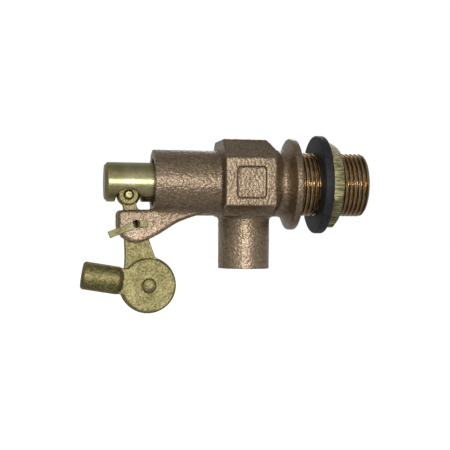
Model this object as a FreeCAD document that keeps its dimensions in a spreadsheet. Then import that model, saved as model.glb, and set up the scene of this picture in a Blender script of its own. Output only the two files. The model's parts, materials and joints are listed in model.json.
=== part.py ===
"""Cast bronze float valve for a tank wall, built as separate working pieces.

Frame: origin on the inlet axis at the flange's sealing face, +X out along the threaded shank,
+Z up, -Y towards the face that carries the square recess. Units are millimetres.
"""
import FreeCAD
import Part
import math
import os
import Sketcher

V = FreeCAD.Vector
os.makedirs("parts", exist_ok=True)
doc = FreeCAD.newDocument("float_valve")

DIMENSIONS = {
    # threaded inlet shank, G 1 pipe thread
    "shank_r": 16.62, "shank_len": 36.9, "shank_end_r": 15.4, "inlet_r": 11.2,
    # flange and hub behind it
    "flange_r": 23.9, "rim_t": 3.6, "hub_r": 17.1, "hub_right": 7.4,
    # square block with chamfered corners
    "block_mid": 26.9, "block_half": 22.3, "block_flat": 12.3, "block_left": 40.5, "block_len": 26.3,
    "shoulder_len": 4.6, "belly_half": 13.8, "belly_low": 17.4,
    "panel_w": 15.0, "panel_tall": 16.0, "panel_deep": 1.4, "panel_round": 2.0,
    # spout
    "spout_r": 13.3, "spout_bore": 10.0, "spout_len": 44.2,
    # barrel and its bore
    "barrel_r": 16.9, "barrel_left": 75.1, "mouth_r": 12.4, "guide_r": 10.25,
    "chamber_r": 12.2, "chamber_left": 41.0, "chamber_right": 16.2, "seat_bore": 9.0, "seat_right": 4.0,
    # clevis ears and the lever's pivot
    "pivot_x": 83.9, "pivot_z": 21.5, "ear_r": 9.5, "ear_width": 17.0, "ear_gap": 7.0, "ear_hole": 1.85,
    # seat ring
    "orifice_r": 5.0, "seat_left": 18.2, "ring_fit": 8.98, "collar_r": 10.6, "collar_right": 1.6,
    # plunger and what it carries
    "plunger_r": 10.15, "plunger_left": 99.9, "plunger_right": 25.4,
    "cup_r": 7.6, "cup_floor": 28.2, "groove_r": 7.75, "groove_left": 56.3,
    "ring_mid_r": 9.0, "ring_section": 1.2, "disc_r": 7.5, "disc_face": 24.13, "tap_r": 1.52,
    "pocket_left": 93.8, "pocket_w": 8.2, "pocket_top": 0.4,
    "notch_r": 6.7, "notch_x": 87.7, "notch_z": 10.0,
    # lever
    "lever_t": 6.5, "eye_x": 3.6, "eye_z": 15.0, "eye_r": 6.0, "eye_t": 7.6, "lever_hole": 1.83,
    "arm_x": 6.6, "arm_z": 31.3, "arm_disc_r": 14.6, "pin_r": 2.44, "pin_len": 12.0,
    # split pin
    "cotter_r": 1.75, "cotter_loop": 2.6, "cotter_wire": 1.3,
    # rod holder
    "holder_r": 13.9, "holder_t": 4.9, "holder_front": 8.5, "tube_r": 7.15, "tube_start": 13.4,
    "tube_end": 34.2, "tube_y": 5.0, "tube_tilt": 9.0, "rod_hole": 4.2, "arm_hole": 2.58,
    # clamp bolt, washer and nut
    "bolt_r": 2.5, "bolt_head": 3.87, "bolt_back": 9.4, "washer_r": 4.6, "washer_t": 1.1, "clamp_af": 8.0,
    "clamp_nut_t": 4.0,
    # gasket and locknut
    "gasket_r": 25.8, "gasket_bore": 16.8, "gasket_left": 10.4, "gasket_t": 5.0, "gasket_round": 1.2,
    "nut_bore": 16.72, "nut_af": 39.6, "nut_left": 15.45, "nut_t": 6.6, "nut_turn": -7.9,
}

sheet = doc.addObject("Spreadsheet::Sheet", "Dims")
for row, (alias, value) in enumerate(DIMENSIONS.items(), start=1):
    sheet.set(f"A{row}", alias)
    sheet.set(f"B{row}", str(value))
    sheet.setAlias(f"B{row}", alias)
doc.recompute()

NODES = []


def number(term):
    """A coordinate is a plain number, a sheet alias, or an alias with a minus sign."""
    if not isinstance(term, str):
        return float(term)
    return -DIMENSIONS[term[1:]] if term.startswith("-") else DIMENSIONS[term]


def formula(term):
    return f"-Dims.{term[1:]}" if term.startswith("-") else f"Dims.{term}"


def bind(obj, prop, term):
    if isinstance(term, str):
        obj.setExpression(prop, formula(term))
    else:
        setattr(obj, prop, term)


def new_body(label, at=(0, 0, 0), turn=0.0, axis=(1, 0, 0)):
    body = doc.addObject("PartDesign::Body", label)
    body.Label = label
    body.Placement = FreeCAD.Placement(V(*at), FreeCAD.Rotation(V(*axis), turn))
    NODES.append(body)
    return body


def new_sketch(body, name, plane, move=(0, 0, 0), spin=None):
    """A sketch on one of the body's own planes, moved and turned in that plane's own axes."""
    sketch = body.newObject("Sketcher::SketchObject", name)
    base = next(f for f in body.Origin.OriginFeatures if f.Role == plane)
    sketch.AttachmentSupport = (base, "")
    sketch.MapMode = "FlatFace"
    sketch.AttachmentOffset = FreeCAD.Placement(V(*move), spin or FreeCAD.Rotation())
    return sketch


def pin_point(sketch, edge, end, point):
    """Hold one sketch point at its coordinates, each bound to the sheet where it is an alias."""
    for kind, term in (("DistanceX", point[0]), ("DistanceY", point[1])):
        value = number(term)
        if abs(value) < 1e-9:
            axis = -2 if kind == "DistanceX" else -1
            sketch.addConstraint(Sketcher.Constraint("PointOnObject", edge, end, axis))
            continue
        index = sketch.addConstraint(Sketcher.Constraint(kind, -1, 1, edge, end, value))
        if isinstance(term, str):
            sketch.setExpression(f"Constraints[{index}]", formula(term))


def outline(sketch, points, hollows=None):
    """A closed run of edges through the points, anticlockwise where it has hollows.

    hollows maps an edge's place in the run to the middle point of the inward arc that it is.
    """
    hollows = hollows or {}
    spots = [V(number(x), number(y), 0) for x, y in points]
    first, count = len(sketch.Geometry), len(points)
    for i, (a, b) in enumerate(zip(spots, spots[1:] + spots[:1])):
        edge = Part.Arc(a, V(*hollows[i], 0), b) if i in hollows else Part.LineSegment(a, b)
        sketch.addGeometry(edge, False)
    for i, point in enumerate(points):
        start, end = (2, 1) if i in hollows else (1, 2)
        after = (i + 1) % count
        meets = 2 if after in hollows else 1
        sketch.addConstraint(Sketcher.Constraint("Coincident", first + i, end, first + after, meets))
        pin_point(sketch, first + i, start, point)


def ring(sketch, radius, at=(0.0, 0.0)):
    middle = V(number(at[0]), number(at[1]), 0)
    edge = sketch.addGeometry(Part.Circle(middle, V(0, 0, 1), number(radius)), False)
    pin_point(sketch, edge, 3, at)
    index = sketch.addConstraint(Sketcher.Constraint("Radius", edge, number(radius)))
    if isinstance(radius, str):
        sketch.setExpression(f"Constraints[{index}]", formula(radius))


def feature(body, kind, name, sketch, **settings):
    made = body.newObject(f"PartDesign::{kind}", name)
    made.Profile = sketch
    for prop, value in settings.items():
        bind(made, prop, value)
    sketch.Visibility = False
    doc.recompute()
    return made


def spun(body, name, sketch, axis="H_Axis", cut=False):
    """A full turn of the sketch about one of its own axes, added or cut away."""
    kind = "Groove" if cut else "Revolution"
    return feature(body, kind, name, sketch, ReferenceAxis=(sketch, [axis]), Angle=360.0)


def revolve(body, name, points, cut=False, plane="XZ_Plane", axis="H_Axis"):
    sketch = new_sketch(body, name + "_profile", plane)
    outline(sketch, points)
    return spun(body, name, sketch, axis, cut)


def rounded(body, name, test, radius):
    """Round the edges of the body's tip that pass the test."""
    base = body.Tip
    picked = [f"Edge{i}" for i, edge in enumerate(base.Shape.Edges, start=1) if test(edge)]
    if not picked:
        raise ValueError(f"{name}: no edges picked")
    made = body.newObject("PartDesign::Fillet", name)
    made.Base = (base, picked)
    bind(made, "Radius", radius)
    doc.recompute()
    if not made.Shape.isValid() or made.Shape.Volume < 1:
        raise ValueError(f"{name}: bad result")
    return made


def bevelled_disc(body, name, at, radius, half, bevel, back=None):
    """A disc on a Y axis through (x, z), from -half to half or to back, with bevelled rims."""
    far = half if back is None else back
    sketch = new_sketch(body, name + "_profile", "XY_Plane", (at[0], 0, at[1]))
    shoulder = number(radius) - bevel
    outline(sketch, [
        (0, -half), (shoulder, -half), (radius, bevel - half),
        (radius, far - bevel), (shoulder, far), (0, far),
    ])
    return spun(body, name, sketch, "V_Axis")


# ---------------------------------------------------------------- valve body
valve = new_body("valve_body")
# ears of the clevis: round about the pivot, then sweeping up into the barrel's underside
PIVOT = V(-DIMENSIONS["pivot_x"], -DIMENSIONS["pivot_z"], 0)
EAR_R = DIMENSIONS["ear_r"]


def on_ear(degrees):
    angle = math.radians(degrees)
    return PIVOT + V(EAR_R * math.cos(angle), EAR_R * math.sin(angle), 0)


ear_side, ear_low, ear_end = on_ear(180.0), on_ear(235.0), on_ear(288.0)
EAR_LEFT = PIVOT.x - EAR_R
EAR_TOP = -14.5
CORNER = 2.4
corner_from = V(EAR_LEFT + CORNER, EAR_TOP, 0)
corner_mid = V(EAR_LEFT + CORNER * (1 - math.sqrt(0.5)), EAR_TOP - CORNER * (1 - math.sqrt(0.5)), 0)
corner_to = V(EAR_LEFT, EAR_TOP - CORNER, 0)
rib_top, rib_end = V(-46.0, -6.0, 0), V(-46.0, -15.4, 0)
rib_left, ear_root = V(-69.0, -6.0, 0), V(-74.0, -13.95, 0)
sweep = Part.BSplineCurve()
sweep.interpolate(
    Points=[ear_end, V(-74.1, -27.6, 0), V(-68.2, -24.0, 0), V(-62.9, -20.7, 0), V(-57.0, -18.3, 0), rib_end],
    InitialTangent=V(math.cos(math.radians(18)), math.sin(math.radians(18)), 0),
    FinalTangent=V(1, 0.15, 0),
)
ear_sketch = new_sketch(valve, "ear_outline", "XZ_Plane")
ear_edges = [
    Part.LineSegment(rib_top, rib_left),
    Part.LineSegment(rib_left, ear_root),
    Part.LineSegment(ear_root, corner_from),
    Part.Arc(corner_from, corner_mid, corner_to),
    Part.LineSegment(corner_to, ear_side),
    Part.Arc(ear_side, ear_low, ear_end),
    sweep,
    Part.LineSegment(rib_end, rib_top),
]
for piece in ear_edges:
    ear_sketch.addGeometry(piece, False)
for i in range(len(ear_edges)):
    ear_sketch.addConstraint(Sketcher.Constraint("Coincident", i, 2, (i + 1) % len(ear_edges), 1))
feature(valve, "Pad", "ears", ear_sketch, Length="ear_width", Midplane=True)


def ear_edge(edge):
    box = edge.BoundBox
    return box.YLength < 0.01 and box.ZMin < -14.2


rounded(valve, "ear_rounding", ear_edge, 1.8)

revolve(valve, "turned_outside", [
    ("-barrel_left", 0), ("-barrel_left", "barrel_r"), (-20.0, "barrel_r"), (-18.0, "hub_r"),
    ("-hub_right", "hub_r"), (-5.7, 18.6), (-4.7, 21.0), ("-rim_t", "flange_r"), (0, "flange_r"),
    (0, "shank_r"), (35.7, "shank_r"), ("shank_len", "shank_end_r"), ("shank_len", 0),
])


def block_section(name, x):
    """Octagon across the block, with its two lower corners hollowed in towards the spout."""
    sketch = new_sketch(valve, name, "YZ_Plane", (0, 0, x))
    outline(sketch, [
        ("block_half", "block_flat"), ("block_flat", "block_half"), ("-block_flat", "block_half"),
        ("-block_half", "block_flat"), ("-block_half", "-block_flat"), ("-belly_half", "-belly_low"),
        ("belly_half", "-belly_low"), ("block_half", "-block_flat"),
    ], {4: (-17.2, -13.5), 6: (17.2, -13.5)})
    return sketch


BLOCK_RIGHT = DIMENSIONS["block_len"] - DIMENSIONS["block_left"]
feature(valve, "Pad", "block", block_section("block_outline", -DIMENSIONS["block_left"]), Length="block_len")
feature(valve, "Pad", "block_shoulder", block_section("shoulder_outline", BLOCK_RIGHT),
        Length="shoulder_len", TaperAngle=-58.4)
slope = new_sketch(valve, "top_slope_outline", "XZ_Plane")
outline(slope, [(-13.7, 17.2), (-8.0, 17.2), (-8.0, 23.0), (-18.05, 23.0)])
feature(valve, "Pocket", "top_slope", slope, Length=60.0, Midplane=True)


def block_edge(edge):
    middle = edge.valueAt((edge.FirstParameter + edge.LastParameter) / 2)
    return -43 < middle.x < -10.9 and math.hypot(middle.y, middle.z) > 17.5


rounded(valve, "block_rounding", block_edge, 1.0)

spout_sketch = new_sketch(valve, "spout_section", "XY_Plane")
ring(spout_sketch, "spout_r", ("-block_mid", 0))
feature(valve, "Pad", "spout", spout_sketch, Length="spout_len", Reversed=True)


def spout_root(edge):
    if edge.Length < 0.5:
        return False
    ends = [edge.valueAt(edge.FirstParameter), edge.valueAt(edge.LastParameter)]
    spread = [math.hypot(p.x + DIMENSIONS["block_mid"], p.y) for p in ends]
    on_spout = all(abs(r - DIMENSIONS["spout_r"]) < 0.02 for r in spread)
    return on_spout and all(-30 < p.z < -10 for p in ends)


rounded(valve, "spout_fillet", spout_root, 0.5)

# passages
revolve(valve, "bored_passage", [
    (-76.5, 0), (-76.5, "mouth_r"), (-71.1, "mouth_r"), (-70.3, "guide_r"), ("-chamber_left", "guide_r"),
    ("-chamber_left", "chamber_r"), ("-chamber_right", "chamber_r"), ("-chamber_right", "seat_bore"),
    ("-seat_right", "seat_bore"), ("-seat_right", "inlet_r"), (38.0, "inlet_r"), (38.0, 0),
], cut=True)
spout_bore = new_sketch(valve, "spout_bore_section", "XY_Plane", (0, 0, -DIMENSIONS["spout_len"] - 0.5))
ring(spout_bore, "spout_bore", ("-block_mid", 0))
feature(valve, "Pocket", "spout_passage", spout_bore, Length=40.0, Reversed=True)

# slot between the ears and the hole for the split pin
slot_sketch = new_sketch(valve, "slot_outline", "XZ_Plane")
outline(slot_sketch, [
    (-96.0, -34.0), (-96.0, -13.0), (-75.1, -13.0), (-75.1, -16.7), (-73.6, -16.7), (-73.6, -34.0),
])
feature(valve, "Pocket", "slot", slot_sketch, Length="ear_gap", Midplane=True)
hole_sketch = new_sketch(valve, "pivot_hole_section", "XZ_Plane")
ring(hole_sketch, "ear_hole", ("-pivot_x", "-pivot_z"))
feature(valve, "Pocket", "pivot_hole", hole_sketch, Length=30.0, Midplane=True)


# square recess on the front pad
panel = new_sketch(valve, "panel_outline", "XZ_Plane", (0, 0, DIMENSIONS["block_half"]))
half_w, half_t = DIMENSIONS["panel_w"] / 2, DIMENSIONS["panel_tall"] / 2
mid = -DIMENSIONS["block_mid"]
outline(panel, [
    (mid - half_w, -half_t), (mid + half_w, -half_t), (mid + half_w, half_t), (mid - half_w, half_t),
])
feature(valve, "Pocket", "panel", panel, Length="panel_deep")


def panel_corner(edge):
    box = edge.BoundBox
    deep = abs(box.YLength - DIMENSIONS["panel_deep"]) < 0.01
    return deep and box.YMax < -20.5 and box.XLength < 0.01 and box.ZLength < 0.01


rounded(valve, "panel_rounding", panel_corner, "panel_round")


def turned_rim(edge):
    box = edge.BoundBox
    flange_edge = abs(box.ZLength / 2 - DIMENSIONS["flange_r"]) < 0.05
    barrel_edge = abs(box.ZLength / 2 - DIMENSIONS["barrel_r"]) < 0.05
    at_mouth = abs(box.XMin + DIMENSIONS["barrel_left"]) < 0.01
    return box.XLength < 0.01 and (flange_edge or (barrel_edge and at_mouth))


rounded(valve, "rim_rounding", turned_rim, 0.9)

# ----------------------------------------------------------------- seat ring
seat = new_body("seat_ring")
revolve(seat, "seat_turning", [
    ("-seat_left", "orifice_r"), ("-seat_left", 6.6), (-17.5, 7.4), ("-chamber_right", 7.4),
    ("-chamber_right", "ring_fit"), ("-seat_right", "ring_fit"), ("-seat_right", "collar_r"),
    ("-collar_right", "collar_r"), ("-collar_right", 7.4), (-4.5, "orifice_r"),
])
driver = new_sketch(seat, "driver_slot_outline", "XY_Plane")
outline(driver, [(-3.0, -12.0), (-0.5, -12.0), (-0.5, 12.0), (-3.0, 12.0)])
feature(seat, "Pocket", "driver_slot", driver, Length=2.4, Midplane=True)

# ------------------------------------------------------------------- plunger
plunger = new_body("plunger")
revolve(plunger, "plunger_turning", [
    ("-plunger_left", 0), ("-plunger_left", 8.65), (-98.4, "plunger_r"), ("-groove_left", "plunger_r"),
    ("-groove_left", "groove_r"), (-53.5, "groove_r"), (-53.5, "plunger_r"), (-26.2, "plunger_r"),
    ("-plunger_right", 9.35), ("-plunger_right", "cup_r"), ("-cup_floor", "cup_r"), ("-cup_floor", "tap_r"),
    (-37.5, "tap_r"), (-38.4, 0),
])
pocket = new_sketch(plunger, "pocket_outline", "XZ_Plane")
outline(pocket, [
    ("-pocket_left", -11.0), (-81.2, -11.0), (-81.2, "pocket_top"), ("-pocket_left", "pocket_top"),
])
feature(plunger, "Pocket", "lever_pocket", pocket, Length="pocket_w", Midplane=True)
notch = new_sketch(plunger, "notch_section", "XZ_Plane")
ring(notch, "notch_r", ("-notch_x", "-notch_z"))
feature(plunger, "Pocket", "cross_notch", notch, Length=24.0, Midplane=True)

o_ring = new_body("plunger_o_ring")
ring_sketch = new_sketch(o_ring, "ring_section_circle", "XZ_Plane")
ring(ring_sketch, "ring_section", (-54.9, "ring_mid_r"))
spun(o_ring, "ring_sweep", ring_sketch)

disc = new_body("seat_disc")
revolve(disc, "disc_turning", [
    ("-cup_floor", 1.6), ("-cup_floor", "disc_r"), (-24.5, "disc_r"), ("-disc_face", 7.1),
    ("-disc_face", 1.6),
])

retainer = new_body("disc_retainer")
revolve(retainer, "retainer_turning", [
    ("-disc_face", 1.6), ("-disc_face", 3.4), (-23.4, 3.4), (-23.13, 3.1), (-23.13, 1.6),
])

screw = new_body("disc_screw")
revolve(screw, "screw_turning", [
    (-36.5, 0), (-36.5, 1.1), (-36.0, 1.5), (-23.13, 1.5),
    (-23.13, 2.7), (-21.9, 2.7), (-21.4, 2.2), (-21.4, 0),
])
screw_slot = new_sketch(screw, "screw_slot_outline", "XY_Plane")
outline(screw_slot, [(-22.3, -4.0), (-21.0, -4.0), (-21.0, 4.0), (-22.3, 4.0)])
feature(screw, "Pocket", "screw_slot", screw_slot, Length=0.7, Midplane=True)

# --------------------------------------------------------------------- lever
PIVOT_AT = (-DIMENSIONS["pivot_x"], 0, -DIMENSIONS["pivot_z"])
EYE_AT = (PIVOT_AT[0] - DIMENSIONS["eye_x"], 0, PIVOT_AT[2] + DIMENSIONS["eye_z"])
ARM_AT = (PIVOT_AT[0] + DIMENSIONS["arm_x"], 0, PIVOT_AT[2] - DIMENSIONS["arm_z"])

lever = new_body("lever", PIVOT_AT)
stem = new_sketch(lever, "stem_outline", "XZ_Plane")
left_side = [
    (-9.0, 15.5), (-6.3, 9.2), (-6.0, 8.2), (-6.4, 3.0), (-6.0, -3.0),
    (-5.4, -8.3), (-5.1, -17.0), (-5.5, -25.5),
]
right_side = [
    (18.5, -24.0), (14.6, -20.0), (12.0, -18.6), (10.2, -16.6), (7.1, -8.3), (6.6, -2.0), (6.4, 3.4),
    (5.0, 5.9), (2.6, 7.1), (1.3, 7.9), (0.6, 9.0), (0.4, 10.2), (0.7, 12.0), (1.5, 14.0),
]
outline(stem, left_side + right_side)
feature(lever, "Pad", "stem", stem, Length="lever_t", Midplane=True)
EYE_HALF, LEVER_HALF = DIMENSIONS["eye_t"] / 2, DIMENSIONS["lever_t"] / 2
bevelled_disc(lever, "eye", (-DIMENSIONS["eye_x"], DIMENSIONS["eye_z"]), "eye_r", EYE_HALF, 1.2)
bevelled_disc(lever, "arm_disc", (DIMENSIONS["arm_x"], -DIMENSIONS["arm_z"]), "arm_disc_r", LEVER_HALF, 0.8)
for name, radius, at in (
    ("pivot_bore", "lever_hole", (0, 0)),
    ("eye_bore", 2.45, ("-eye_x", "eye_z")),
    ("clamp_bore", 2.52, ("arm_x", "-arm_z")),
):
    bore = new_sketch(lever, name + "_section", "XZ_Plane")
    ring(bore, radius, at)
    feature(lever, "Pocket", name, bore, Length=20.0, Midplane=True)


pin = new_body("plunger_pin", EYE_AT)
half = DIMENSIONS["pin_len"] / 2
revolve(pin, "pin_turning", [
    (0, -half), (1.7, -half), ("pin_r", 0.75 - half), ("pin_r", half - 0.75), (1.7, half), (0, half),
], plane="XY_Plane", axis="V_Axis")

# ------------------------------------------------------------------ split pin
cotter = new_body("pivot_cotter", PIVOT_AT)
WIRE = DIMENSIONS["cotter_r"]
BEND = 1.95
LIE = DIMENSIONS["ear_width"] / 2 + 0.3 + WIRE


def leg(name, degrees, length):
    """One half-round leg: straight through the ears, then bent flat across the front ear.

    degrees is the direction in which the leg is bent, seen from the front, from +X towards +Z.
    """
    across = FreeCAD.Rotation(V(0, 0, 1), degrees)
    section = new_sketch(cotter, name + "_section", "XZ_Plane", (0, 0, -9.6), across)
    gap = 0.06
    top = math.sqrt(WIRE**2 - gap**2)
    section.addGeometry(Part.Arc(V(gap, -top, 0), V(WIRE, 0, 0), V(gap, top, 0)), False)
    section.addGeometry(Part.LineSegment(V(gap, top, 0), V(gap, -top, 0)), False)
    section.addConstraint(Sketcher.Constraint("Coincident", 0, 2, 1, 1))
    section.addConstraint(Sketcher.Constraint("Coincident", 1, 2, 0, 1))
    route = new_sketch(cotter, name + "_route", "XY_Plane", spin=FreeCAD.Rotation(V(0, 1, 0), -degrees))
    bend_at = -LIE + BEND
    corner = math.sqrt(0.5) * BEND
    route.addGeometry(Part.LineSegment(V(0, 9.6, 0), V(0, bend_at, 0)), False)
    bend_middle = V(BEND - corner, bend_at - corner, 0)
    route.addGeometry(Part.Arc(V(0, bend_at, 0), bend_middle, V(BEND, -LIE, 0)), False)
    route.addGeometry(Part.LineSegment(V(BEND, -LIE, 0), V(length, -LIE, 0)), False)
    route.addConstraint(Sketcher.Constraint("Coincident", 0, 2, 1, 1))
    route.addConstraint(Sketcher.Constraint("Coincident", 1, 2, 2, 1))
    pipe = cotter.newObject("PartDesign::AdditivePipe", name)
    pipe.Profile = section
    pipe.Spine = route
    doc.recompute()
    return pipe


loop = cotter.newObject("PartDesign::AdditiveTorus", "loop")
loop.AttachmentSupport = (next(f for f in cotter.Origin.OriginFeatures if f.Role == "XY_Plane"), "")
loop.MapMode = "FlatFace"
loop.AttachmentOffset = FreeCAD.Placement(V(0, 12.4, 0), FreeCAD.Rotation())
bind(loop, "Radius1", "cotter_loop")
bind(loop, "Radius2", "cotter_wire")
doc.recompute()
leg("left_leg", 202.0, 15.1)
leg("right_leg", 1.0, 5.7)

# ----------------------------------------------------------------- rod holder
holder = new_body("rod_holder", ARM_AT)
HOLDER_BACK = DIMENSIONS["holder_t"] - DIMENSIONS["holder_front"]
bevelled_disc(holder, "holder_disc", (0, 0), "holder_r", DIMENSIONS["holder_front"], 0.7, back=HOLDER_BACK)


def along_tube(name, points, cut=False):
    """A full turn about the tube's axis; points are (distance from the clamp bolt, radius)."""
    lean = FreeCAD.Rotation(V(0, 1, 0), 180 + DIMENSIONS["tube_tilt"])
    sketch = new_sketch(holder, name + "_profile", "XY_Plane", (0, -DIMENSIONS["tube_y"], 0), lean)
    outline(sketch, points)
    return spun(holder, name, sketch, cut=cut)


along_tube("tube", [
    ("tube_start", 0), ("tube_start", 4.4), (14.2, 6.1), (15.6, "tube_r"),
    (33.2, "tube_r"), ("tube_end", 6.2), ("tube_end", 0),
])
web = new_sketch(
    holder, "web_outline", "XZ_Plane", (0, 0, DIMENSIONS["holder_front"]),
    FreeCAD.Rotation(V(0, 0, 1), 180 - DIMENSIONS["tube_tilt"]))
outline(web, [(4.0, -6.7), (16.2, -6.7), (16.2, 6.7), (4.0, 6.7)])
feature(holder, "Pad", "web", web, Length="holder_t", Reversed=True)
relief = new_sketch(holder, "lever_relief_section", "XZ_Plane", (0, 0, -HOLDER_BACK))
ring(relief, 15.2)
feature(holder, "Pocket", "lever_relief", relief, Length=8.0)
along_tube("rod_hole", [
    (35.0, 0), (35.0, 5.6), (33.1, "rod_hole"), (17.1, "rod_hole"), (14.7, 0),
], cut=True)
arm_bore = new_sketch(holder, "arm_bore_section", "XZ_Plane")
ring(arm_bore, "arm_hole")
feature(holder, "Pocket", "arm_bore", arm_bore, Length=30.0, Midplane=True)

# ---------------------------------------------------- clamp bolt, washer, nut
bolt = new_body("clamp_bolt", ARM_AT)
HEAD = -DIMENSIONS["holder_front"] - 0.1
revolve(bolt, "bolt_turning", [
    (0, HEAD - 1.9), (1.8, HEAD - 1.8), (3.0, HEAD - 1.4), ("bolt_head", HEAD - 0.5), ("bolt_head", HEAD),
    ("bolt_r", HEAD), ("bolt_r", 8.8), (1.9, "bolt_back"), (0, "bolt_back"),
], plane="XY_Plane", axis="V_Axis")

washer = new_body("clamp_lock_washer", ARM_AT)
WASHER_AT = LEVER_HALF
revolve(washer, "washer_turning", [
    (2.55, WASHER_AT), ("washer_r", WASHER_AT), ("washer_r", WASHER_AT + 1.1), (2.55, WASHER_AT + 1.1),
], plane="XY_Plane", axis="V_Axis")
split = new_sketch(washer, "split_outline", "XZ_Plane")
outline(split, [(-0.25, 2.0), (0.35, 2.0), (0.75, 5.5), (0.15, 5.5)])
feature(washer, "Pocket", "split", split, Length=20.0, Midplane=True)


def hexagon(sketch, across_flats):
    """A regular hexagon with its flats up and down."""
    far = across_flats / math.sqrt(3)
    corners = [(far * math.cos(math.radians(60 * i)), far * math.sin(math.radians(60 * i))) for i in range(6)]
    outline(sketch, corners)


nut_at = WASHER_AT + DIMENSIONS["washer_t"]
clamp_nut = new_body("clamp_nut", ARM_AT)
clamp_hex = new_sketch(clamp_nut, "clamp_hex", "XZ_Plane", (0, 0, -nut_at))
hexagon(clamp_hex, DIMENSIONS["clamp_af"])
ring(clamp_hex, 2.52)
feature(clamp_nut, "Pad", "clamp_nut_blank", clamp_hex, Length="clamp_nut_t", Reversed=True)
nut_end = nut_at + DIMENSIONS["clamp_nut_t"]
revolve(clamp_nut, "clamp_nut_bevel", [
    (3.9, nut_end + 0.5), (6.0, nut_end + 0.5), (6.0, nut_end - 1.1), (3.9, nut_end),
], cut=True, plane="XY_Plane", axis="V_Axis")

# ------------------------------------------------------------ gasket, locknut
gasket = new_body("tank_gasket")
GASKET_RIGHT = DIMENSIONS["gasket_left"] + DIMENSIONS["gasket_t"]
revolve(gasket, "gasket_turning", [
    ("gasket_left", "gasket_bore"), ("gasket_left", "gasket_r"), (GASKET_RIGHT, "gasket_r"),
    (GASKET_RIGHT, "gasket_bore"),
])
rounded(gasket, "gasket_rounding", lambda edge: edge.BoundBox.ZLength > 50.0, "gasket_round")

locknut = new_body("locknut", (DIMENSIONS["nut_left"], 0, 0), DIMENSIONS["nut_turn"])
nut_hex = new_sketch(locknut, "nut_hex", "YZ_Plane")
far = DIMENSIONS["nut_af"] / math.sqrt(3)
outline(nut_hex, [
    (far * math.sin(math.radians(60 * i)), far * math.cos(math.radians(60 * i))) for i in range(6)
])
ring(nut_hex, "nut_bore")
feature(locknut, "Pad", "nut_blank", nut_hex, Length="nut_t")
tall = DIMENSIONS["nut_t"]
for name, face, step, deep in (("left_bevel", 0.0, -1.0, 1.3), ("right_bevel", tall, 1.0, 2.3)):
    revolve(locknut, name, [
        (face + step, 20.0), (face, 20.0), (face - deep * step, 24.0), (face + step, 24.0),
    ], cut=True)

# --------------------------------------------------------------- check, write
doc.recompute()
for thing in doc.Objects:
    if {"Invalid", "Error"} & set(thing.State):
        raise ValueError(f"{thing.Name}: {thing.State}")
for body in NODES:
    shape = body.Shape
    if shape.isNull() or not shape.isValid() or len(shape.Solids) != 1:
        raise ValueError(f"{body.Label}: bad shape, {len(shape.Solids)} solids")
    shape.exportStep(f"parts/{body.Label}.step")
    print(f"{body.Label}: {shape.Volume:.0f} mm3")
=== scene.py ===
import json
import math

import bmesh
import bpy
import numpy as np
from mathutils import Matrix, Quaternion, Vector


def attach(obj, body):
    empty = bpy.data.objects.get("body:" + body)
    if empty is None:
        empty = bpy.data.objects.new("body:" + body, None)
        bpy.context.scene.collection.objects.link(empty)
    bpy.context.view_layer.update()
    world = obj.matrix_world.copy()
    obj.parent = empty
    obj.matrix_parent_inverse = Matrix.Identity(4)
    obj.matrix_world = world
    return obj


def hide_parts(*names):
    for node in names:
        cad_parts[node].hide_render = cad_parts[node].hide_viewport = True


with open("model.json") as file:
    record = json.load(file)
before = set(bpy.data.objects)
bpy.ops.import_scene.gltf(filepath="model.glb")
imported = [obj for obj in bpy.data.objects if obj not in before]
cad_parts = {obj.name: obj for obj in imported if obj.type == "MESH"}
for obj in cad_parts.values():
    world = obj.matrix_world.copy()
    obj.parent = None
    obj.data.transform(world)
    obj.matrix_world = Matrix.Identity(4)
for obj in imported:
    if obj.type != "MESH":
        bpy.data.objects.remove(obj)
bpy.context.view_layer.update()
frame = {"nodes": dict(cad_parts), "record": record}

MM = 0.001
nodes = frame["nodes"]
body_of_node = {n: b for b, ns in frame["record"]["behaviour"]["bodies"].items() for n in ns}


# ------------------------------------------------------------------ materials
# Where painted light makes the bronze paler down the spout (Z), and where the brass turns darker along
# the rod's tube (X), in mm.
SPOUT_TOP, SPOUT_PALE = -20, -28
TUBE_ROOT, TUBE_DARK = -88, -93


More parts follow.
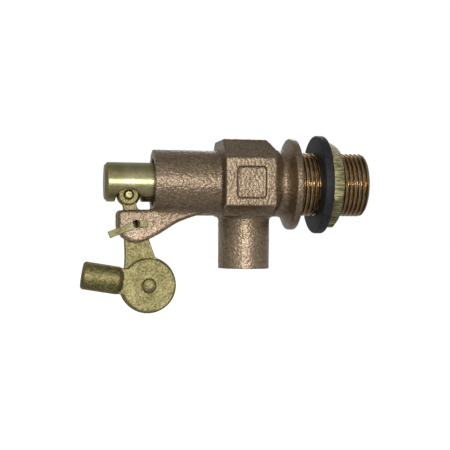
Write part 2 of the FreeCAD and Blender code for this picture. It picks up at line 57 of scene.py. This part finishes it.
class Nodes:
    """A short way to write a node tree."""

    def __init__(self, name):
        self.material = bpy.data.materials.new(name)
        self.material.use_nodes = True
        self.tree = self.material.node_tree
        self.tree.nodes.clear()
        self.out = self.tree.nodes.new("ShaderNodeOutputMaterial")
        self.shader = self.tree.nodes.new("ShaderNodeBsdfPrincipled")
        self.link(self.shader, "BSDF", self.out, "Surface")
        self.coords = self.tree.nodes.new("ShaderNodeTexCoord")

    def link(self, a, out, b, into):
        self.tree.links.new(a.outputs[out], b.inputs[into])

    def add(self, kind, **values):
        node = self.tree.nodes.new("ShaderNode" + kind)
        for key, value in values.items():
            if hasattr(node, key):
                setattr(node, key, value)
            else:
                node.inputs[key.replace("_", " ")].default_value = value
        return node

    def stretched(self, scale):
        """Object coordinates in millimetres, stretched by scale."""
        mapping = self.add("Mapping")
        mapping.inputs["Scale"].default_value = [s * 1000 for s in scale]
        self.link(self.coords, "Object", mapping, "Vector")
        return mapping

    def noise(self, per_mm, detail=3.0, rough=0.55, scale=(1, 1, 1)):
        node = self.add("TexNoise", Scale=per_mm, Detail=detail, Roughness=rough)
        self.link(self.stretched(scale), "Vector", node, "Vector")
        return node

    def cells(self, per_mm):
        node = self.add("TexVoronoi", Scale=per_mm)
        node.feature = "SMOOTH_F1"
        self.link(self.stretched((1, 1, 1)), "Vector", node, "Vector")
        return node

    def ramp(self, source, output, stops):
        node = self.add("ValToRGB")
        while len(node.color_ramp.elements) < len(stops):
            node.color_ramp.elements.new(0.5)
        for element, (at, colour) in zip(node.color_ramp.elements, stops):
            element.position = at
            element.color = (*colour, 1.0)
        self.link(source, output, node, "Fac")
        return node

    def grey(self, source, output, low, high, a, b):
        """A value that runs from a to b while the source runs from low to high."""
        node = self.add("MapRange")
        node.inputs["From Min"].default_value = low
        node.inputs["From Max"].default_value = high
        node.inputs["To Min"].default_value = a
        node.inputs["To Max"].default_value = b
        self.link(source, output, node, "Value")
        return node

    def blend(self, how, factor, a, b):
        """Two colour outputs mixed; factor is a number or a (node, output) pair."""
        node = self.add("Mix")
        node.data_type = "RGBA"
        node.blend_type = how
        if isinstance(factor, tuple):
            self.tree.links.new(factor[0].outputs[factor[1]], node.inputs[0])
        else:
            node.inputs[0].default_value = factor
        for index, side in ((6, a), (7, b)):
            if isinstance(side, tuple) and isinstance(side[0], bpy.types.Node):
                self.tree.links.new(side[0].outputs[side[1]], node.inputs[index])
            else:
                node.inputs[index].default_value = (*side, 1.0)
        return node

    def bump(self, source, output, strength, depth_mm, under=None):
        node = self.add("Bump")
        node.inputs["Strength"].default_value = strength
        node.inputs["Distance"].default_value = depth_mm * MM
        self.link(source, output, node, "Height")
        if under:
            self.link(under, "Normal", node, "Normal")
        return node


def cast_bronze():
    """Shot-blasted casting: pebbled grain, darker pits, painted shade in its corners, and paler worn
    edges.
    """
    m = Nodes("cast_bronze")
    grain = m.cells(0.95)
    fine = m.noise(0.85, 3.0, 0.6)
    cloud = m.noise(0.12, 3.0, 0.6)
    tone = m.ramp(cloud, "Fac", [
        (0.3, (0.310, 0.223, 0.134)), (0.55, (0.358, 0.262, 0.163)), (0.8, (0.420, 0.314, 0.205))])
    pits = m.ramp(grain, "Distance", [
        (0.05, (1.30, 1.29, 1.27)), (0.3, (1.0, 1.0, 1.0)), (0.6, (0.62, 0.58, 0.54))])
    specks = m.ramp(fine, "Fac", [
        (0.36, (0.66, 0.63, 0.60)), (0.5, (1.0, 1.0, 1.0)), (0.64, (1.40, 1.40, 1.40))])
    pebbles = m.blend("MULTIPLY", 0.55, (tone, "Color"), (pits, "Color"))
    body = m.blend("MULTIPLY", 0.5, (pebbles, 2), (specks, "Color"))
    place = m.add("SeparateXYZ")
    m.link(m.coords, "Object", place, "Vector")
    # Painted light: the bronze grows paler and whiter down the spout, as if the lower body were lit more
    # strongly.
    spout = m.grey(place, "Z", SPOUT_TOP * MM, SPOUT_PALE * MM, 0.0, 1.0)
    spout_painted_light = m.blend("MULTIPLY", (spout, "Result"), (body, 2), (1.47, 1.50, 1.58))
    geometry = m.add("NewGeometry")
    edge = m.grey(geometry, "Pointiness", 0.535, 0.60, 0.0, 0.6)
    worn = m.blend("MIX", (edge, "Result"), (spout_painted_light, 2), (0.60, 0.49, 0.37))
    # Painted shade: a near-black brown laid into the inside corners (low pointiness), where shade falls.
    corner_shade = m.grey(geometry, "Pointiness", 0.462, 0.42, 0.0, 0.9)
    corner_shaded = m.blend("MIX", (corner_shade, "Result"), (worn, 2), (0.040, 0.028, 0.018))
    m.link(corner_shaded, 2, m.shader, "Base Color")
    m.shader.inputs["Metallic"].default_value = 0.85
    m.shader.inputs["Coat Weight"].default_value = 0.7
    m.shader.inputs["Coat Roughness"].default_value = 0.3
    roughness = m.grey(fine, "Fac", 0.3, 0.7, 0.31, 0.43)
    m.link(roughness, "Result", m.shader, "Roughness")
    lower = m.bump(fine, "Fac", 0.5, 0.45)
    top = m.bump(grain, "Distance", 0.5, -0.16, lower)
    m.link(top, "Normal", m.shader, "Normal")
    m.link(top, "Normal", m.shader, "Coat Normal")
    return m.material


def machined(name, dark, light, rough, grain, grain_depth, dent_depth, marks, stain):
    """Brass with handling marks, faint tool marks, uneven tarnish and painted shade in its corners.

    rough is the lowest and highest roughness, grain the specks in a millimetre, the two depths
    millimetres, marks the stretch of the specks along X, Y and Z, and stain their strength.
    """
    m = Nodes(name)
    cloud = m.noise(0.16, 4.0, 0.62)
    speck = m.noise(grain, 5.0, 0.65, marks)
    tone = m.ramp(cloud, "Fac", [(0.32, dark), (0.68, light)])
    spots = m.ramp(speck, "Fac", [
        (0.39, (0.22, 0.19, 0.14)), (0.48, (0.9, 0.9, 0.9)), (0.60, (1.9, 1.88, 1.8))])
    body = m.blend("MULTIPLY", stain, (tone, "Color"), (spots, "Color"))
    place = m.add("SeparateXYZ")
    m.link(m.coords, "Object", place, "Vector")
    # The brass is made darker along the rod's tube, left of x = -88 mm.
    tube = m.grey(place, "X", TUBE_ROOT * MM, TUBE_DARK * MM, 0.0, 1.0)
    tube_darker = m.blend("MULTIPLY", (tube, "Result"), (body, 2), (0.86, 0.85, 0.80))
    geometry = m.add("NewGeometry")
    # Painted shade: a near-black olive laid into the inside corners (low pointiness), where shade falls.
    corner_shade = m.grey(geometry, "Pointiness", 0.485, 0.43, 0.0, 0.85)
    corner_shaded = m.blend("MIX", (corner_shade, "Result"), (tube_darker, 2), (0.045, 0.038, 0.015))
    m.link(corner_shaded, 2, m.shader, "Base Color")
    m.shader.inputs["Metallic"].default_value = 1.0
    roughness = m.grey(speck, "Fac", 0.3, 0.7, rough[0], rough[1])
    m.link(roughness, "Result", m.shader, "Roughness")
    relief = m.bump(speck, "Fac", 0.6, grain_depth)
    dents = m.bump(cloud, "Fac", 0.35, dent_depth, relief)
    m.link(dents, "Normal", m.shader, "Normal")
    return m.material


def rubber():
    m = Nodes("black_rubber")
    dust = m.noise(0.5, 5.0, 0.65)
    fine = m.noise(4.0, 3.0, 0.6)
    tone = m.ramp(dust, "Fac", [(0.35, (0.012, 0.012, 0.014)), (0.7, (0.034, 0.035, 0.042))])
    m.link(tone, "Color", m.shader, "Base Color")
    roughness = m.grey(fine, "Fac", 0.3, 0.7, 0.42, 0.62)
    m.link(roughness, "Result", m.shader, "Roughness")
    relief = m.bump(fine, "Fac", 0.4, 0.05)
    m.link(relief, "Normal", m.shader, "Normal")
    return m.material


BRONZE = cast_bronze()
THREAD = machined(
    "thread_bronze", dark=(0.38, 0.26, 0.14), light=(0.52, 0.38, 0.22), rough=(0.16, 0.24),
    grain=1.2, grain_depth=0.001, dent_depth=0.0, marks=(1, 1, 1), stain=0.25)
BRASS = machined(
    "cast_brass", dark=(0.285, 0.252, 0.11), light=(0.475, 0.415, 0.205), rough=(0.37, 0.54),
    grain=1.1, grain_depth=0.4, dent_depth=0.3, marks=(1, 1, 1), stain=0.6)
TURNED = machined(
    "turned_brass", dark=(0.45, 0.40, 0.205), light=(0.57, 0.52, 0.28), rough=(0.25, 0.37),
    grain=1.2, grain_depth=0.01, dent_depth=0.1, marks=(0.5, 2.5, 2.5), stain=0.2)
NUT = machined(
    "nut_brass", dark=(0.29, 0.265, 0.13), light=(0.42, 0.39, 0.21), rough=(0.34, 0.5),
    grain=0.6, grain_depth=0.15, dent_depth=0.1, marks=(0.3, 2.2, 2.2), stain=0.8)
WIRE = machined(
    "wire_brass", dark=(0.16, 0.145, 0.075), light=(0.24, 0.22, 0.115), rough=(0.34, 0.5),
    grain=1.0, grain_depth=0.05, dent_depth=0.05, marks=(1, 1, 1), stain=0.6)
RUBBER = rubber()


# --------------------------------------------------------------------- meshes
def object_from(mesh, name):
    made = bpy.data.objects.new(name, mesh)
    bpy.context.scene.collection.objects.link(made)
    return made


def apply_modifiers(obj):
    """Takes the object's modifiers into its mesh."""
    bpy.context.view_layer.update()
    graph = bpy.context.evaluated_depsgraph_get()
    mesh = bpy.data.meshes.new_from_object(obj.evaluated_get(graph))
    old = obj.data
    obj.modifiers.clear()
    obj.data = mesh
    bpy.data.meshes.remove(old)


def finish_piece(obj, node, material):
    obj.data.materials.clear()
    obj.data.materials.append(material)
    obj.data.polygons.foreach_set("use_smooth", [True] * len(obj.data.polygons))
    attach(obj, body_of_node[node])


def welded_copy(node, name):
    mesh = nodes[node].data.copy()
    work = bmesh.new()
    work.from_mesh(mesh)
    bmesh.ops.remove_doubles(work, verts=work.verts, dist=1e-6)
    work.to_mesh(mesh)
    work.free()
    return object_from(mesh, name)


def remesh_and_smooth(obj, voxel, rounds):
    remesh = obj.modifiers.new("remesh", "REMESH")
    remesh.mode = "VOXEL"
    remesh.voxel_size = voxel * MM
    smooth = obj.modifiers.new("smooth", "SMOOTH")
    smooth.factor = 0.5
    smooth.iterations = rounds


def pebble(obj, height, size, octaves):
    """A cast skin: bumps of this height and size in millimetres."""
    clouds = bpy.data.textures.new(obj.name + "_grain", "CLOUDS")
    clouds.noise_scale = size * MM
    clouds.noise_depth = octaves
    skin = obj.modifiers.new("skin", "DISPLACE")
    skin.texture = clouds
    skin.texture_coords = "LOCAL"
    skin.strength = height * MM
    skin.mid_level = 0.5


def softened(node, name, material, voxel, rounds, grain=0.0, grain_size=1.0):
    """A copy of a CAD node with its edges worn round and, if asked, a pebbled skin."""
    obj = welded_copy(node, name)
    remesh_and_smooth(obj, voxel, rounds)
    if grain:
        pebble(obj, grain, grain_size, 2)
    apply_modifiers(obj)
    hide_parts(node)
    finish_piece(obj, node, material)


def bevelled(node, name, material, width):
    """A copy of a turned or milled CAD node with its sharp edges broken."""
    obj = welded_copy(node, name)
    work = bmesh.new()
    work.from_mesh(obj.data)
    bmesh.ops.dissolve_limit(work, angle_limit=math.radians(0.8), verts=work.verts, edges=work.edges)
    work.to_mesh(obj.data)
    work.free()
    bevel = obj.modifiers.new("bevel", "BEVEL")
    bevel.width = width * MM
    bevel.segments = 3
    bevel.limit_method = "ANGLE"
    bevel.angle_limit = math.radians(32)
    apply_modifiers(obj)
    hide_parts(node)
    finish_piece(obj, node, material)
    obj.data.set_sharp_from_angle(angle=math.radians(40))


# ------------------------------------------------------------- the bronze body
SHANK_END = 36.9
PITCH = 2.309
CREST, ROOT = 16.62, 15.16
BORE = 11.2
SPOUT_X = -26.9
BODY_VOXEL, CORNER_ROUNDS = ((0.34, 150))


def vertex_rows(mesh, name):
    rows = np.empty(len(mesh.vertices) * 3)
    mesh.vertices.foreach_get(name, rows)
    return rows.reshape(-1, 3)


def fill_corners(mesh, rounds, room):
    """Fills the casting's inside corners with small fillets; room says which vertices may move."""
    start, normals = vertex_rows(mesh, "co"), vertex_rows(mesh, "normal")
    edges = np.empty(len(mesh.edges) * 2, dtype=np.int32)
    mesh.edges.foreach_get("vertices", edges)
    one, other = edges.reshape(-1, 2).T
    count = len(start)
    degree = np.bincount(edges, minlength=count)
    soft = start.copy()
    for _ in range(rounds):
        for axis in range(3):
            near = np.bincount(one, weights=soft[other, axis], minlength=count)
            near += np.bincount(other, weights=soft[one, axis], minlength=count)
            soft[:, axis] = 0.5 * (soft[:, axis] + near / degree)
    rise = ((soft - start) * normals).sum(axis=1)
    rise = np.where(room(start / MM), np.maximum(rise, 0.0), 0.0)
    mesh.vertices.foreach_set("co", (start + normals * rise[:, None]).ravel())
    mesh.update()


def outside(points):
    """True on the body's outer faces, away from the bores, the lever's slot and the blank square."""
    x, y, z = points.T
    off_bore = np.hypot(y, z) > 14.5
    off_spout = (np.hypot(x - SPOUT_X, y) > 11.8) | (z > -16.0)
    off_slot = (np.abs(y) > 5.0) | (x > -62.0) | (z > -13.0)
    off_square = (y > -20.0) | (np.abs(z) > 9.5)
    return off_bore & off_spout & off_slot & off_square


def cut_off_shank(obj):
    """Takes away everything right of the flange's face, where the modelled thread goes."""
    size, gap = 80 * MM, 0.15 * MM
    knife = object_from(bpy.data.meshes.new("knife"), "knife")
    work = bmesh.new()
    bmesh.ops.create_cube(work, size=size, matrix=Matrix.Translation((size / 2 + gap, 0, 0)))
    work.to_mesh(knife.data)
    work.free()
    cut = obj.modifiers.new("cut", "BOOLEAN")
    cut.operation = "DIFFERENCE"
    cut.solver = "EXACT"
    cut.object = knife
    apply_modifiers(obj)
    bpy.data.objects.remove(knife)


body = welded_copy("valve_body", "cast_body")
cut_off_shank(body)
remesh_and_smooth(body, BODY_VOXEL, 2)
apply_modifiers(body)
fill_corners(body.data, CORNER_ROUNDS, outside)
pebble(body, 0.29, 1.05, 1)
apply_modifiers(body)
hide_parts("valve_body")
finish_piece(body, "valve_body", BRONZE)


def thread_radius(x, turn):
    """Radius of the 55 degree thread at x, where turn is the angle about +X as a share of a circle."""
    phase = (x / PITCH - turn) % 1.0
    flank = abs(phase - 0.5) * 2
    rise = min(max((flank - 0.10) / 0.52, 0.0), 1.0)
    rise = rise * rise * (3 - 2 * rise)
    runout = min(max((x - 0.3) / 1.6, 0.0), 1.0)
    radius = ROOT + (CREST - ROOT) * rise * runout
    return min(radius, CREST - 1.45 * max(0.0, (x - (SHANK_END - 1.25)) / 1.25))


def shank():
    """The threaded shank: helical outside, bevelled end, plain bore."""
    around, per_pitch = 128, 14
    rows = int(SHANK_END / PITCH * per_pitch)
    stations = [-0.6 + (SHANK_END + 0.6) * i / rows for i in range(rows + 1)]
    rings = [[(x, thread_radius(x, j / around)) for j in range(around)] for x in stations]
    for x, r in ((SHANK_END, 12.0), (SHANK_END - 0.6, BORE), (20.0, BORE), (5.0, BORE), (-0.6, BORE)):
        rings.append([(x, r)] * around)
    mesh = bpy.data.meshes.new("shank_thread")
    points, faces = [], []
    for ring in rings:
        for j, (x, r) in enumerate(ring):
            angle = 2 * math.pi * j / around
            points.append((x * MM, r * math.cos(angle) * MM, r * math.sin(angle) * MM))
    count = len(rings)
    for i in range(count):
        for j in range(around):
            a, b = i * around + j, i * around + (j + 1) % around
            c, d = (i + 1) % count * around + (j + 1) % around, (i + 1) % count * around + j
            faces.append((a, d, c, b))
    mesh.from_pydata(points, [], faces)
    mesh.update()
    return object_from(mesh, "shank_thread")


thread = shank()
finish_piece(thread, "valve_body", THREAD)
thread.data.set_sharp_from_angle(angle=math.radians(50))

# ------------------------------------------------------------ the other pieces
FINE = 1.0
softened("plunger", "plunger_rod", TURNED, 0.3 * FINE, 4)
softened("lever", "forged_lever", BRASS, 0.26 * FINE, 4, 0.05, 1.3)
softened("rod_holder", "rod_socket", BRASS, 0.26 * FINE, 4, 0.05, 1.2)
softened("clamp_bolt", "rivet_head", BRASS, 0.15 * FINE, 4)
softened("pivot_cotter", "split_pin", WIRE, 0.1 * FINE, 2)
bevelled("plunger_pin", "knuckle_pin", NUT, 0.12)
bevelled("locknut", "hex_locknut", NUT, 0.35)
bevelled("clamp_nut", "hex_clamp_nut", BRASS, 0.15)
bevelled("clamp_lock_washer", "split_washer", BRASS, 0.1)
bevelled("tank_gasket", "rubber_gasket", RUBBER, 0.1)
bevelled("seat_ring", "seat_nozzle", TURNED, 0.12)
for node, material in (
    ("plunger_o_ring", RUBBER), ("seat_disc", RUBBER), ("disc_retainer", TURNED), ("disc_screw", TURNED),
):
    nodes[node].material_slots[0].material = material

# ---------------------------------------------------------- floor, light, camera
floor_mesh = bpy.data.meshes.new("floor")
half, low = 6.0, -0.16
floor_mesh.from_pydata(
    [(-half, -half, low), (half, -half, low), (half, half, low), (-half, half, low)], [], [(0, 1, 2, 3)])
floor = object_from(floor_mesh, "floor")
paper = Nodes("paper_floor")
fibre = paper.noise(0.02, 3.0, 0.5)
pale = paper.ramp(fibre, "Fac", [(0.3, (0.90, 0.90, 0.90)), (0.7, (0.93, 0.93, 0.93))])
paper.link(pale, "Color", paper.shader, "Base Color")
paper.shader.inputs["Roughness"].default_value = 0.9
paper.shader.inputs["Emission Color"].default_value = (1, 1, 1, 1)
paper.shader.inputs["Emission Strength"].default_value = 0.86
floor.data.materials.append(paper.material)
floor.visible_glossy = False
floor.visible_diffuse = False

world = bpy.data.worlds.new("studio")
bpy.context.scene.world = world
world.use_nodes = True
tree = world.node_tree
tree.nodes.clear()
out = tree.nodes.new("ShaderNodeOutputWorld")
seen = tree.nodes.new("ShaderNodeBackground")
seen.inputs["Color"].default_value = (1, 1, 1, 1)
seen.inputs["Strength"].default_value = 1.0
lit = tree.nodes.new("ShaderNodeBackground")
lit.inputs["Strength"].default_value = 1.2
mix = tree.nodes.new("ShaderNodeMixShader")
path = tree.nodes.new("ShaderNodeLightPath")
where = tree.nodes.new("ShaderNodeTexCoord")
axes = tree.nodes.new("ShaderNodeSeparateXYZ")
front = tree.nodes.new("ShaderNodeMapRange")
front.inputs["From Min"].default_value = 1.0
front.inputs["From Max"].default_value = -1.0
shade = tree.nodes.new("ShaderNodeValToRGB")
shade.color_ramp.elements.new(0.45)
for element, level in zip(shade.color_ramp.elements, (0.34, 0.165, 0.34)):
    element.color = (level, level, level, 1)
tree.links.new(where.outputs["Generated"], axes.inputs[0])
tree.links.new(axes.outputs["Y"], front.inputs["Value"])
tree.links.new(front.outputs["Result"], shade.inputs["Fac"])
tree.links.new(shade.outputs["Color"], lit.inputs["Color"])
tree.links.new(path.outputs["Is Camera Ray"], mix.inputs[0])
tree.links.new(lit.outputs[0], mix.inputs[1])
tree.links.new(seen.outputs[0], mix.inputs[2])
tree.links.new(mix.outputs[0], out.inputs[0])

AIM = Vector((-36.8, 0, -21.7)) * MM
AZIMUTH, REACH = math.radians(-10.2), 0.555


def direction(azimuth, elevation):
    a, e = math.radians(azimuth), math.radians(elevation)
    return Vector((math.sin(a) * math.cos(e), -math.cos(a) * math.cos(e), math.sin(e)))


def lamp(name, azimuth, elevation, distance, width, height, watts):
    data = bpy.data.lights.new(name, "AREA")
    data.shape = "RECTANGLE"
    data.size = width
    data.size_y = height
    data.energy = watts
    made = bpy.data.objects.new(name, data)
    bpy.context.scene.collection.objects.link(made)
    back = direction(azimuth, elevation)
    made.location = AIM + back * distance
    made.rotation_mode = "QUATERNION"
    made.rotation_quaternion = back.to_track_quat("Z", "Y")


lamp("key", -2.0, 4.0, 0.60, 0.13, 0.13, 0.72)
lamp("spark", -2.0, 4.0, 0.60, 0.06, 0.03, 0.10)
lamp("soft_top", -20.0, 35.0, 0.9, 0.6, 0.6, 0.4)
lamp("rear", 160.0, 25.0, 0.9, 0.35, 0.35, 0.8)

camera_data = bpy.data.cameras.new("camera")
camera_data.lens = 85.0
camera_data.sensor_width = 36.0
camera_data.clip_start = 0.01
camera = bpy.data.objects.new("camera", camera_data)
bpy.context.scene.collection.objects.link(camera)
back = Vector((math.sin(AZIMUTH), -math.cos(AZIMUTH), 0))
camera.location = AIM + back * REACH
camera.rotation_mode = "QUATERNION"
roll = Quaternion((0, 0, 1), math.radians(0.4))
camera.rotation_quaternion = back.to_track_quat("Z", "Y") @ roll
bpy.context.scene.camera = camera
bpy.context.scene.view_settings.view_transform = "Standard"
